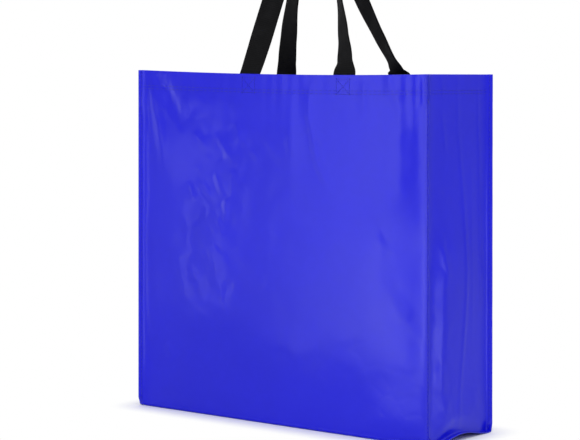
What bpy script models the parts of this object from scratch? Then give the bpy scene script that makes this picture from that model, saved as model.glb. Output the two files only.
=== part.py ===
# Laminated non-woven shopping bag: one folded body strip, two side gussets and two webbing handles,
# standing open on its bottom. X runs across the front, the front faces -Y, Z is up, and the origin is
# the middle of the base on the floor. Lengths are in metres.
import bpy
from math import pi, sin, cos, atan2, radians
import numpy as np

# Standing bag
BAG_HEIGHT = 0.425            # floor to rim
PANEL_WIDTH = 0.440           # front panel, side seam to side seam, at the bottom
GUSSET_DEPTH = 0.125          # gusset, seam to seam, at the bottom
TOP_WIDTH_LOSS = 0.0068       # how much narrower the panel stands at the rim
TOP_DEPTH_LOSS = 0.0008       # how much shallower the gusset stands at the rim

# Laminate, seams and hems
LAMINATE_THICKNESS = 0.0005
LAYER_GAP = 0.0003            # clear space between two layers that lie on each other
SEAM_FIN_WIDTH = 0.007        # seam allowance that stands out of every sewn edge
BASE_FOLD_RADIUS = 0.0030     # plain fold between a wall and the bottom
FIN_TURN_HEIGHT = 0.045       # an upright fin swings from straight out to diagonal over this height
HEM_DEPTH = 0.030             # top edge turned to the inside
HEM_TAPER = 0.012             # height over which the seam thins below the hem

# How the soft walls stand
FRONT_RIM_BOW = 0.004         # rim drawn in at the middle of the front
BACK_RIM_BOW = 0.004
FRONT_RIM_RISE = 0.0057       # front left corner of the rim stands higher
RIM_DIP = 0.0020              # rim sinks between its corners
BELLY_BULGE = 0.0050          # front and back walls swell at mid height
SEAM_FLARE = 0.0016           # every wall lies behind its seam lines by this much
FLARE_REACH = 0.0060          # and comes up to them within this distance
GUSSET_BULGE = 0.0050         # gusset swells at mid height
GUSSET_CREASE = 0.0016        # ridge left by the gusset's storage fold
CREASE_SHIFT = 0.0080         # ridge wanders towards the back at mid height
CREASE_HALF_WIDTH = 0.010
BASE_ARCH = 0.0075            # bottom seam lifts at the middle of each gusset
ARCH_REACH = 0.110            # height up the gusset where the lift has faded
FLAT_BASE_SHARE = 0.62        # share of the bottom's width that lies flat

# Soft dents and folds in the front: across, up, half width, half height, lean in degrees, depth inwards
FRONT_DENTS = (
    (-0.176, 0.395, 0.010, 0.042, 28.0, 0.0020),
    (-0.196, 0.372, 0.009, 0.050, 12.0, -0.0018),
    (-0.118, 0.290, 0.030, 0.060, -12.0, 0.0018),
    (-0.092, 0.215, 0.022, 0.050, 18.0, -0.0020),
    (-0.070, 0.300, 0.016, 0.045, -8.0, -0.0016),
    (0.020, 0.350, 0.010, 0.060, 3.0, -0.0010),
    (0.191, 0.258, 0.014, 0.022, -8.0, 0.0022),
    (0.120, 0.180, 0.060, 0.080, 0.0, -0.0022),
    (-0.150, 0.070, 0.070, 0.040, 0.0, 0.0020),
)

# Webbing handles
WEBBING_WIDTH = 0.032
WEBBING_THICKNESS = 0.0016
HANDLE_TUCK = 0.028           # length sewn to the inside of the hem
HANDLE_RISE = 0.230           # top of the loop above the rim
HANDLE_PART = 0.0020          # half the space between the two loops at their tops
TWIST_START = 0.0010          # a leg stays flat until it is this far above the rim
SLOPE_REACH = 0.050           # height above the rim where the wall's own slope has left a leg
TILT_REACH = 0.030            # height above the rim where a leg lies square to its own curve

# Each leg of a loop. Across is where it leaves the rim. Lean is how far its curve sets off across the bag
# and inwards, climb how high it sets off as a share of the loop's height, and crown its level run at the
# top. Twist lists how many degrees the webbing has turned at shares of the loop's height.
FRONT_LEFT_LEG = {
    "across": -0.0483,
    "lean": (0.0038, 0.0136),
    "climb": 0.13,
    "crown": 0.0150,
    "twist": ((0.08, 1.5), (0.20, 4.0), (0.39, 2.5), (1.0, 90.0)),
}
FRONT_RIGHT_LEG = {
    "across": 0.0958,
    "lean": (0.0038, 0.0136),
    "climb": 0.13,
    "crown": 0.0150,
    "twist": ((0.074, -22.0), (0.20, -33.0), (0.383, -44.0), (1.0, -90.0)),
}
BACK_LEFT_LEG = {
    "across": -0.0795,
    "lean": (0.0423, 0.0420),
    "climb": 0.67,
    "crown": 0.0100,
    "twist": ((0.08, -8.5), (0.21, -15.0), (0.40, -26.0), (1.0, -90.0)),
}
BACK_RIGHT_LEG = {
    "across": 0.0958,
    "lean": (0.0871, 0.0450),
    "climb": 0.76,
    "crown": 0.0100,
    "twist": ((0.026, -26.0), (0.08, -36.0), (0.20, -30.0), (0.39, -22.5), (1.0, 90.0)),
}

# Fineness of the meshes
WALL_ROWS = 17
ROW_CROWDING = 1.5            # above 1 the rows lie closer towards the floor
HEM_ROWS = 3
BASE_ROWS = 8
PANEL_COLUMNS = 22
LOOP_ROWS = 68
LOOP_CROWDING = 1.4           # above 1 a leg's rows lie closer towards the rim

# Values that follow from the sizes above
layer_step = LAMINATE_THICKNESS + LAYER_GAP
skin = LAMINATE_THICKNESS / 2
seam_height = skin + layer_step / 2
rim_fold_height = BAG_HEIGHT - skin - layer_step / 2
hem_edge_height = BAG_HEIGHT - HEM_DEPTH


def clear_scene():
    for item in list(bpy.data.objects):
        bpy.data.objects.remove(item, do_unlink=True)


def collection(name):
    group = bpy.data.collections.new(name)
    bpy.context.scene.collection.children.link(group)
    return group


def material(name, colour, roughness):
    finish = bpy.data.materials.new(name)
    finish.use_nodes = True
    shader = finish.node_tree.nodes["Principled BSDF"]
    shader.inputs["Base Color"].default_value = (*colour, 1.0)
    shader.inputs["Roughness"].default_value = roughness
    shader.inputs["Metallic"].default_value = 0.0
    return finish


def unit(vector):
    return vector / np.linalg.norm(vector)


def smooth(value):
    value = min(max(value, 0.0), 1.0)
    return value * value * (3.0 - 2.0 * value)


def half_width(height):
    return PANEL_WIDTH / 2 - TOP_WIDTH_LOSS / 2 * height / BAG_HEIGHT


def half_depth(height):
    return GUSSET_DEPTH / 2 - TOP_DEPTH_LOSS / 2 * height / BAG_HEIGHT


def seam_spread(height):
    """Half the distance between the outer layers of a seam: two layers meet, and four beside the hem."""
    above_edge = smooth((height - hem_edge_height + HEM_TAPER) / HEM_TAPER)
    return layer_step * (0.5 + above_edge)


def rim_rise(across, share):
    return FRONT_RIM_RISE * ((1.0 - across) / 2) ** 1.5 * share * share


def base_arch(share):
    """Lift of the bottom seam at a place along the gusset, -1 at the front and 1 at the back."""
    return BASE_ARCH * cos(share * pi / 2) ** 2


# A seam station is a place on the line where strip and gusset meet, with the way its fin stands out and
# the way from the strip's layer to the gusset's layer. It is written for the right-hand, front seam and
# mirrored from there.

def upright_station(height, side, end):
    turn = pi / 4 * smooth((height - seam_height - BASE_FOLD_RADIUS) / FIN_TURN_HEIGHT)
    out = np.array([cos(turn), -sin(turn), 0.0])
    to_gusset = np.array([sin(turn), cos(turn), 0.0])
    rise = rim_rise(side, height / BAG_HEIGHT) if end < 0 else 0.0
    place = np.array([half_width(height), -half_depth(height), height + rise])
    return mirrored(place, out, to_gusset, seam_spread(height), side, end)


def base_station(share, side):
    depth = abs(share) * (GUSSET_DEPTH / 2 - BASE_FOLD_RADIUS)
    place = np.array([PANEL_WIDTH / 2, -depth, seam_height + base_arch(share)])
    out = np.array([1.0, 0.0, 0.0])
    up = np.array([0.0, 0.0, 1.0])
    end = -1 if share < 0 else 1
    return mirrored(place, out, up, layer_step / 2, side, end)


def corner_station(side, end):
    bend = BASE_FOLD_RADIUS * (1.0 - sin(pi / 4))
    place = np.array([PANEL_WIDTH / 2, bend - GUSSET_DEPTH / 2, seam_height + bend])
    out = np.array([1.0, 0.0, 0.0])
    to_gusset = unit(np.array([0.0, 1.0, 1.0]))
    return mirrored(place, out, to_gusset, layer_step / 2, side, end)


def mirrored(place, out, to_gusset, spread, side, end):
    flip = np.array([side, -end, 1.0])
    return place * flip, out * flip, to_gusset * flip, spread


def crease_point(station, layer):
    place, out, to_gusset, spread = station
    return place + layer * spread * to_gusset


def front_dent(across, height):
    depth = 0.0
    for middle, level, wide, tall, lean, amount in FRONT_DENTS:
        turn = radians(lean)
        along = (across - middle) * cos(turn) + (height - level) * sin(turn)
        up = (height - level) * cos(turn) - (across - middle) * sin(turn)
        depth += amount * np.exp(-(along / wide) ** 2 - (up / tall) ** 2)
    return depth * smooth((hem_edge_height - height) / HEM_DEPTH)


def wall_inset(across, height, end):
    """How far the front or back wall stands in from the line between its two side seams."""
    share = height / BAG_HEIGHT
    span = 1.0 - across * across
    bow = FRONT_RIM_BOW if end < 0 else BACK_RIM_BOW
    inset = bow * span * share ** 2 - BELLY_BULGE * span * sin(pi * share) ** 2
    to_seam = (1.0 - abs(across)) * half_width(height)
    inset += SEAM_FLARE * (1.0 - np.exp(-to_seam / FLARE_REACH))
    if end < 0:
        inset += front_dent(across * half_width(height), height) * smooth(4.0 * (1.0 - abs(across)))
    return inset


def wall_point(across, height, end, layer_inset=0.0):
    """A point on the middle of the strip's wall. Across runs from -1 to 1 between the side seams."""
    left = crease_point(upright_station(height, -1, end), -1)
    right = crease_point(upright_station(height, 1, end), -1)
    point = left + (right - left) * (across + 1.0) / 2
    share = height / BAG_HEIGHT
    rise = rim_rise(across, share) if end < 0 else 0.0
    point[2] = height + rise - RIM_DIP * (1.0 - across * across) * share ** 2
    point[1] -= end * (wall_inset(across, height, end) + layer_inset)
    return point


def gusset_bulge(share_along, height):
    """How far the gusset stands out from the line between its two seams."""
    level = height / BAG_HEIGHT
    swell = sin(pi * min(level * 1.02, 1.0)) ** 2
    body = GUSSET_BULGE * (1.0 - share_along ** 2) * swell
    ridge_at = CREASE_SHIFT * swell / (GUSSET_DEPTH / 2)
    reach = CREASE_HALF_WIDTH / (GUSSET_DEPTH / 2)
    ridge = GUSSET_CREASE * np.exp(-((share_along - ridge_at) / reach) ** 2)
    ridge *= (0.35 + 0.65 * swell) * smooth(4.0 * (1.0 - abs(share_along)))
    to_seam = (1.0 - abs(share_along)) * GUSSET_DEPTH / 2
    flare = SEAM_FLARE * (1.0 - np.exp(-to_seam / FLARE_REACH)) * smooth(8.0 * level)
    return body + ridge - flare


# Rows of a panel, from the hem's free edge over the rim and down. A row is its height on the wall, how
# far its layer stands inwards as a share of one layer step, and how far it rises within the rim's fold.

def wall_rows():
    rows = []
    for height in np.linspace(hem_edge_height, rim_fold_height, HEM_ROWS):
        rows.append((height, 1.0, 0.0))
    for turn in (60.0, 120.0):
        swing = cos(radians(turn)) / 2 + 0.5
        rows.append((rim_fold_height, swing, layer_step / 2 * sin(radians(turn))))
    for height in np.linspace(rim_fold_height, hem_edge_height, HEM_ROWS):
        rows.append((height, 0.0, 0.0))
    lowest = seam_height + BASE_FOLD_RADIUS
    taper_end = hem_edge_height - HEM_TAPER
    for place in np.linspace(1.0, 0.0, WALL_ROWS):
        rows.append((lowest + (taper_end - lowest) * place ** ROW_CROWDING, 0.0, 0.0))
    return rows


def gusset_shares():
    """Places along the bottom seam between its two corners, shared by strip and gusset."""
    return [float(share) for share in np.linspace(-1.0, 1.0, BASE_ROWS + 1)]


def panel_shares():
    even = np.linspace(-1.0, 1.0, PANEL_COLUMNS + 1)
    return [float(0.7 * share + 0.3 * sin(share * pi / 2)) for share in even]


def fin_points(crease, station):
    out = station[1]
    return [crease + out * SEAM_FIN_WIDTH * share for share in (0.5, 1.0)]


def layered(point, station, wall_normal, layer, row):
    """Moves a crease point into a hem layer, so that wall and fin both keep one layer step."""
    height, swing, lift = row
    to_middle = -layer * station[2]
    shift = (wall_normal + to_middle) / (1.0 + np.dot(wall_normal, to_middle))
    return point + shift * layer_step * swing + np.array([0.0, 0.0, lift])


class Panel:
    """Collects points and faces of one open sheet, later given its thickness."""

    def __init__(self):
        self.points = []
        self.faces = []

    def add(self, point):
        self.points.append(tuple(float(value) for value in point))
        return len(self.points) - 1

    def strip(self, first, second):
        for k in range(len(first) - 1):
            self.faces.append((first[k], first[k + 1], second[k + 1], second[k]))

    def grid(self, rows):
        for upper, lower in zip(rows, rows[1:]):
            self.strip(upper, lower)

    def fin(self, crease, edge, flipped):
        """Triangles between crease and edge, split the same way in both sheets of a seam."""
        for k in range(len(crease) - 1):
            for face in ((crease[k], crease[k + 1], edge[k + 1]), (crease[k], edge[k + 1], edge[k])):
                self.faces.append(tuple(reversed(face)) if flipped else face)


def sheet_object(name, panel, thickness, finish, group):
    mesh = bpy.data.meshes.new(name)
    mesh.from_pydata(panel.points, [], panel.faces)
    mesh.update()
    mesh.shade_smooth()
    item = bpy.data.objects.new(name, mesh)
    item.data.materials.append(finish)
    group.objects.link(item)
    wall = item.modifiers.new("sheet thickness", "SOLIDIFY")
    wall.thickness = thickness
    wall.offset = 0.0
    wall.use_even_offset = True
    return item


def body_strip():
    """Front, bottom and back in one folded strip, with the hems turned in and fins along both edges."""
    panel = Panel()
    rows = []
    edges = {-1: [], 1: []}

    def add_row(points, stations):
        rows.append([panel.add(point) for point in points])
        for side, crease in ((-1, points[0]), (1, points[-1])):
            edges[side].append([panel.add(point) for point in fin_points(crease, stations[side])])

    def add_wall_row(row, end):
        height, swing, lift = row
        stations = {side: upright_station(height, side, end) for side in (-1, 1)}
        inwards = np.array([0.0, -end, 0.0])
        points = []
        for across in panel_shares():
            point = wall_point(across, height, end, layer_step * swing)
            point[2] += lift
            points.append(point)
        for side, index in ((-1, 0), (1, -1)):
            crease = crease_point(stations[side], -1)
            points[index] = layered(crease, stations[side], inwards, -1, row)
        add_row(points, stations)

    def add_base_row(stations):
        left = crease_point(stations[-1], -1)
        right = crease_point(stations[1], -1)
        points = []
        for across in panel_shares():
            point = left + (right - left) * (across + 1.0) / 2
            lift = left[2] - skin
            spread = smooth((abs(across) - FLAT_BASE_SHARE) / (1.0 - FLAT_BASE_SHARE))
            if stations["flat"]:
                point[2] = skin + lift * spread
            points.append(point)
        add_row(points, stations)

    for row in wall_rows():
        add_wall_row(row, -1)
    add_base_row({-1: corner_station(-1, -1), 1: corner_station(1, -1), "flat": False})
    for share in gusset_shares():
        add_base_row({-1: base_station(share, -1), 1: base_station(share, 1), "flat": True})
    add_base_row({-1: corner_station(-1, 1), 1: corner_station(1, 1), "flat": False})
    for row in reversed(wall_rows()):
        add_wall_row(row, 1)

    panel.grid(rows)
    for side, crease in ((-1, 0), (1, -1)):
        ribbons = [[row[crease] for row in rows]]
        ribbons += [[fins[k] for fins in edges[side]] for k in range(2)]
        for first, second in zip(ribbons, ribbons[1:]):
            panel.fin(first, second, side > 0)
    return panel


def gusset(side):
    """One side panel: hem at the top, fins on both uprights and along the arched bottom."""
    panel = Panel()
    shares = [-1.0] + gusset_shares() + [1.0]
    inwards = np.array([-side, 0.0, 0.0])
    rows = []
    edge_front = []
    edge_back = []

    def along(share):
        return share * (1.0 - BASE_FOLD_RADIUS / (GUSSET_DEPTH / 2))

    for row in wall_rows():
        height, swing, lift = row
        front = upright_station(height, side, -1)
        back = upright_station(height, side, 1)
        start = layered(crease_point(front, 1), front, inwards, 1, row)
        stop = layered(crease_point(back, 1), back, inwards, 1, row)
        points = [start]
        for share in shares[1:-1]:
            place = along(share)
            point = crease_point(front, 1)
            point = point + (crease_point(back, 1) - point) * (place + 1.0) / 2
            point[0] += side * gusset_bulge(place, height)
            point += inwards * layer_step * swing
            fade = smooth(1.0 - height / ARCH_REACH)
            rise = rim_rise(place, height / BAG_HEIGHT) * (1 if side < 0 else 0)
            point[2] = height + rise + lift + base_arch(share) * fade
            points.append(point)
        points.append(stop)
        rows.append([panel.add(point) for point in points])
        edge_front.append([panel.add(point) for point in fin_points(start, front)])
        edge_back.append([panel.add(point) for point in fin_points(stop, back)])

    stations = [corner_station(side, -1)]
    stations += [base_station(share, side) for share in gusset_shares()]
    stations += [corner_station(side, 1)]
    lowest = [crease_point(station, 1) for station in stations]
    rows.append([panel.add(point) for point in lowest])
    edge_base = [[panel.add(point) for point in fin_points(crease, station)]
                 for crease, station in zip(lowest, stations)]

    panel.grid(rows)
    outline = [row[0] for row in rows[:-1]] + rows[-1] + [row[-1] for row in reversed(rows[:-1])]
    fins = edge_front + edge_base + list(reversed(edge_back))
    ribbons = [outline] + [[pair[k] for pair in fins] for k in range(2)]
    for first, second in zip(ribbons, ribbons[1:]):
        panel.fin(first, second, False)
    return panel


# A handle's route: up the inside of the hem, out over the rim, and in one arch to the top of the loop.

def blend(stations, place):
    """Smooth value between named places, given as (place, value) pairs in rising order."""
    for (low, first), (high, second) in zip(stations, stations[1:]):
        if place <= high:
            return first + (second - first) * smooth((place - low) / (high - low))
    return stations[-1][1]


def leg_seat(across_bag, height, end):
    """Middle of the webbing where it lies on the inner layer of the hem."""
    across = across_bag / half_width(height)
    inset = layer_step + skin + LAYER_GAP + WEBBING_THICKNESS / 2
    return wall_point(across, height, end, inset)


def leg_slope(across_bag, height, end):
    step = WEBBING_WIDTH / 2
    left = leg_seat(across_bag - step, height, end)
    right = leg_seat(across_bag + step, height, end)
    return atan2(right[1] - left[1], right[0] - left[0])


def leg_route(leg, other, end):
    """Points from the sewn end to the top of the loop, with the height of each above the rim."""
    across = leg["across"]
    route = []
    for height in np.linspace(BAG_HEIGHT - HANDLE_TUCK, BAG_HEIGHT, 4)[:-1]:
        route.append((leg_seat(across, height, end), height - BAG_HEIGHT))
    base = leg_seat(across, BAG_HEIGHT, end)
    base[2] = BAG_HEIGHT
    towards = 1.0 if other["across"] > across else -1.0
    top_side = end * (WEBBING_WIDTH / 2 + HANDLE_PART)
    top = np.array([(across + other["across"]) / 2, top_side, BAG_HEIGHT + HANDLE_RISE])
    lean_across, lean_inwards = leg["lean"]
    first = base + np.array([towards * lean_across, -end * lean_inwards, leg["climb"] * HANDLE_RISE])
    second = top - np.array([towards * leg["crown"], 0.0, 0.0])
    for step in np.linspace(0.0, 1.0, LOOP_ROWS // 2) ** LOOP_CROWDING:
        rest = 1.0 - step
        point = rest ** 3 * base + 3 * rest ** 2 * step * first
        point = point + 3 * rest * step ** 2 * second + step ** 3 * top
        route.append((point, point[2] - BAG_HEIGHT))
    return route


def handle(left, right, end):
    """Flat webbing along one loop, which turns on itself on the way up."""
    panel = Panel()
    route = []
    for leg, other, start in ((left, right, 0.0), (right, left, pi)):
        slope = leg_slope(leg["across"], BAG_HEIGHT, end)
        stations = [(-BAG_HEIGHT, 0.0), (TWIST_START, 0.0)]
        stations += [(share * HANDLE_RISE, radians(angle)) for share, angle in leg["twist"]]
        half = []
        for point, above in leg_route(leg, other, end):
            ease = 1.0 - smooth(above / SLOPE_REACH)
            half.append((point, start + slope * ease + blend(stations, above), smooth(above / TILT_REACH)))
        route.append(half)
    loop = route[0] + list(reversed(route[1]))[1:]
    turn_back = 2 * pi if loop[len(route[0]) - 1][1] < 0 else 0.0
    rows = []
    for k, (point, angle, square) in enumerate(loop):
        if k >= len(route[0]):
            angle -= turn_back
        width = np.array([cos(angle), sin(angle), 0.0])
        if square > 0.0:
            tangent = unit(loop[k + 1][0] - loop[k - 1][0])
            width = unit(width - tangent * np.dot(width, tangent) * square)
        rows.append([panel.add(point + width * share * WEBBING_WIDTH / 2) for share in (-1.0, 0.0, 1.0)])
    panel.grid(rows)
    return panel


def build():
    clear_scene()
    group = collection("laminated_nonwoven_bag")
    collection("cutters")
    laminate = material("blue_laminate", (0.020, 0.022, 0.60), 0.30)
    webbing = material("black_webbing", (0.010, 0.010, 0.011), 0.75)
    sheet_object("body_panel", body_strip(), LAMINATE_THICKNESS, laminate, group)
    sheet_object("left_gusset", gusset(-1), LAMINATE_THICKNESS, laminate.copy(), group)
    sheet_object("right_gusset", gusset(1), LAMINATE_THICKNESS, laminate.copy(), group)
    front_loop = handle(FRONT_LEFT_LEG, FRONT_RIGHT_LEG, -1)
    back_loop = handle(BACK_LEFT_LEG, BACK_RIGHT_LEG, 1)
    sheet_object("front_handle", front_loop, WEBBING_THICKNESS, webbing, group)
    sheet_object("back_handle", back_loop, WEBBING_THICKNESS, webbing.copy(), group)


build()
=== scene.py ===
# Laminated non-woven shopping bag, dressed for its photograph: creased film-faced cloth, sewn seams,
# thread and black webbing handles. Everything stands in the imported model's frame, in metres.
import math
import bpy
import numpy as np
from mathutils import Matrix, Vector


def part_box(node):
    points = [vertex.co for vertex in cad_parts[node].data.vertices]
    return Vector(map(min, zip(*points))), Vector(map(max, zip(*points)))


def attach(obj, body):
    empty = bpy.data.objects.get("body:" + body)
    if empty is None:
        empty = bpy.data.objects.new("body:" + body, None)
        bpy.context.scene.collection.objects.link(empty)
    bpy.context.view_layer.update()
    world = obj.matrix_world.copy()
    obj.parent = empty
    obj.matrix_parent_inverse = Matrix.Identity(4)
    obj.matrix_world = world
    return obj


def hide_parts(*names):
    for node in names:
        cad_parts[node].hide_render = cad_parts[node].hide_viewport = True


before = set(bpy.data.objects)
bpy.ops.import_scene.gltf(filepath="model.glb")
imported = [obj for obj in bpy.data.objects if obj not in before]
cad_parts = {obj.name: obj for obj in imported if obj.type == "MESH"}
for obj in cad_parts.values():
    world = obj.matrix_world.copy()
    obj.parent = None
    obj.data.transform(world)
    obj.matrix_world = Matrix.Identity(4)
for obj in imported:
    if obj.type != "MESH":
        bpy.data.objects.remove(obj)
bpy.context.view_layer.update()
print("frame loaded with", len(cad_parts), "nodes")


# The bag's own sizes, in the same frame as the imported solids

seam = {
    "laminate": 0.0005,       # thickness of the film-faced cloth
    "gap": 0.0003,            # clear space between two layers
    "fin": 0.007,             # seam allowance that stands out
    "foldRadius": 0.0030,     # plain fold between a wall and the bottom
    "finTurn": 0.012,         # height over which an upright fin swings to the diagonal
    "hemDepth": 0.030,
    "hemTaper": 0.030,        # height below the hem over which the seam takes up its layers
    "hemStep": 0.004,         # height over which the pressed fin takes them up
    "pressed": 0.00049,       # a layer's thickness where a fin is stitched
    "stitchPlace": 0.42,      # share of the fin's depth where its thread runs
    "ripple": 0.05,           # how far a fin sways, in radians
    "rippleTurns": (71.0, 173.0),   # its long and its short wave, in radians a metre
    "shortRipple": 0.7,       # the short wave's height beside the long one's
    "ripplePhases": (0.10, 0.05),   # sets the sides' and the ends' waves apart
}
stand = {
    "gussetDepth": 0.125,
    "topWidthLoss": 0.0068,
    "topDepthLoss": 0.0008,
    "frontRise": 0.0057,      # the front left corner of the rim stands higher
    "rimDip": 0.0020,
    "frontBow": 0.004,        # rim drawn in at the middle of the front
    "backBow": 0.004,
    "belly": 0.0050,          # walls swell at mid height
    "flare": 0.0016,          # a wall lies behind its seam line by this much
    "flareReach": 0.0050,     # and comes up to it within this distance
    "flareFoot": 0.125,       # a gusset's flare has come up at this share of the height
    "gussetBulge": 0.0018,
    "bulgeStretch": 1.02,     # the bulge ends just under the rim
    "gussetCrease": 0.0006,   # ridge left by the storage fold
    "leastCrease": 0.35,      # share of the ridge that stays at the rim and at the bottom
    "creaseFade": 0.25,
    "creaseShift": 0.0160,    # the ridge wanders towards the back at mid height
    "creaseHalfWidth": 0.0036,
    "baseArch": 0.0075,       # bottom seam lifts at the middle of each gusset
    "archReach": 0.110,       # height up the gusset where the lift has faded
    "flatBase": 0.62,         # share of the bottom's width that lies flat
}
stripLow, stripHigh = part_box("body_panel")
panelWidth = stripHigh.x - stripLow.x - 2 * seam["fin"]
rimHeight = stripHigh.z - stand["frontRise"]
gussetDepth = stand["gussetDepth"]
layerStep = seam["laminate"] + seam["gap"]
halfLayer = 0.5               # a seam's two inner layers lie this many layers from its middle
skin = seam["laminate"] / 2
seamHeight = skin + layerStep / 2
rimFoldHeight = rimHeight - seamHeight
hemEdgeHeight = rimHeight - seam["hemDepth"]


def smoothStep(value):
    value = np.clip(value, 0.0, 1.0)
    return value * value * (3.0 - 2.0 * value)


def unitVectors(vectors):
    return vectors / np.linalg.norm(vectors, axis=-1, keepdims=True)


def halfWidth(height):
    return panelWidth / 2 - stand["topWidthLoss"] / 2 * height / rimHeight


def halfDepth(height):
    return gussetDepth / 2 - stand["topDepthLoss"] / 2 * height / rimHeight


def seamSpread(height):
    aboveEdge = smoothStep((height - hemEdgeHeight + seam["hemTaper"]) / seam["hemTaper"])
    return layerStep * (halfLayer + aboveEdge)


def seamFlare(toSeam):
    return stand["flare"] * (1.0 - np.exp(-toSeam / stand["flareReach"]))


def rimRise(across, share):
    return stand["frontRise"] * ((1.0 - across) / 2) ** 1.5 * share * share


def baseArch(share):
    return stand["baseArch"] * np.cos(share * math.pi / 2) ** 2


# Soft relief of the walls, in metres outwards

creaseForm = {
    "fade": 3.0,              # a crease comes up and dies away over a third of its length
    "startShare": 0.25,       # how far up it already is at its first and at its last point
    "endShare": 0.05,
    "roundness": 0.25,        # its crest's radius, in half widths
    "falloff": 1.5,
}
crumpleField = {"corners": ((-0.24, 0.0), (0.24, 0.45)), "area": 0.216}   # facets lie all over it


def ridge(x, z, path, width, amount):
    # a crease along a few points, with a rounded crest that fades out at both ends
    path = np.array(path)
    lengths = np.hypot(*(path[1:] - path[:-1]).T)
    nearest = np.full(np.broadcast(x, z).shape, np.inf)
    along = np.zeros_like(nearest)
    done = 0.0
    for start, stop, length in zip(path[:-1], path[1:], lengths):
        step = (stop - start) / length
        place = np.clip((x - start[0]) * step[0] + (z - start[1]) * step[1], 0.0, length)
        gap = np.hypot(x - start[0] - step[0] * place, z - start[1] - step[1] * place)
        closer = gap < nearest
        nearest = np.where(closer, gap, nearest)
        along = np.where(closer, (done + place) / lengths.sum(), along)
        done += length
    fadeIn = smoothStep(along * creaseForm["fade"] + creaseForm["startShare"])
    fadeOut = smoothStep((1.0 - along) * creaseForm["fade"] + creaseForm["endShare"])
    away = np.hypot(nearest, creaseForm["roundness"] * width) / width
    return amount * fadeIn * fadeOut * np.exp(-away ** creaseForm["falloff"])


def dent(x, z, middle, level, wide, tall, lean, amount):
    turn = math.radians(lean)
    along = (x - middle) * math.cos(turn) + (z - level) * math.sin(turn)
    up = (z - level) * math.cos(turn) - (x - middle) * math.sin(turn)
    return amount * np.exp(-(along / wide) ** 2 - (up / tall) ** 2)


def facets(x, z, seed, pitch, sharp):
    # crumpled paper: tilted planes about scattered centres, each blended into its neighbours
    draw = np.random.default_rng(seed)
    count = int(crumpleField["area"] / pitch ** 2)
    centres = draw.uniform(*crumpleField["corners"], (count, 2))
    tilts = draw.normal(0.0, 1.0, (count, 2))
    weight = np.zeros(np.broadcast(x, z).shape)
    value = np.zeros_like(weight)
    for (cx, cz), (tx, tz) in zip(centres, tilts):
        near = np.exp(-sharp * ((x - cx) ** 2 + (z - cz) ** 2) / pitch ** 2)
        value += near * (tx * (x - cx) + tz * (z - cz)) / pitch
        weight += near
    return value / np.maximum(weight, 1e-9)


def foldRelief(x, z, relief, seedShift=0):
    # the creases and crumples of one panel
    height = np.zeros(np.broadcast(x, z).shape)
    for path, width, amount in relief["ridges"]:
        height += ridge(x, z, path, width, amount)
    for seed, pitch, sharp, amount, middle, level, wide, tall in relief["crumples"]:
        mask = np.exp(-((x - middle) / wide) ** 4 - ((z - level) / tall) ** 4)
        height += amount * mask * facets(x, z, seed + seedShift, pitch, sharp)
    return height


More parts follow.
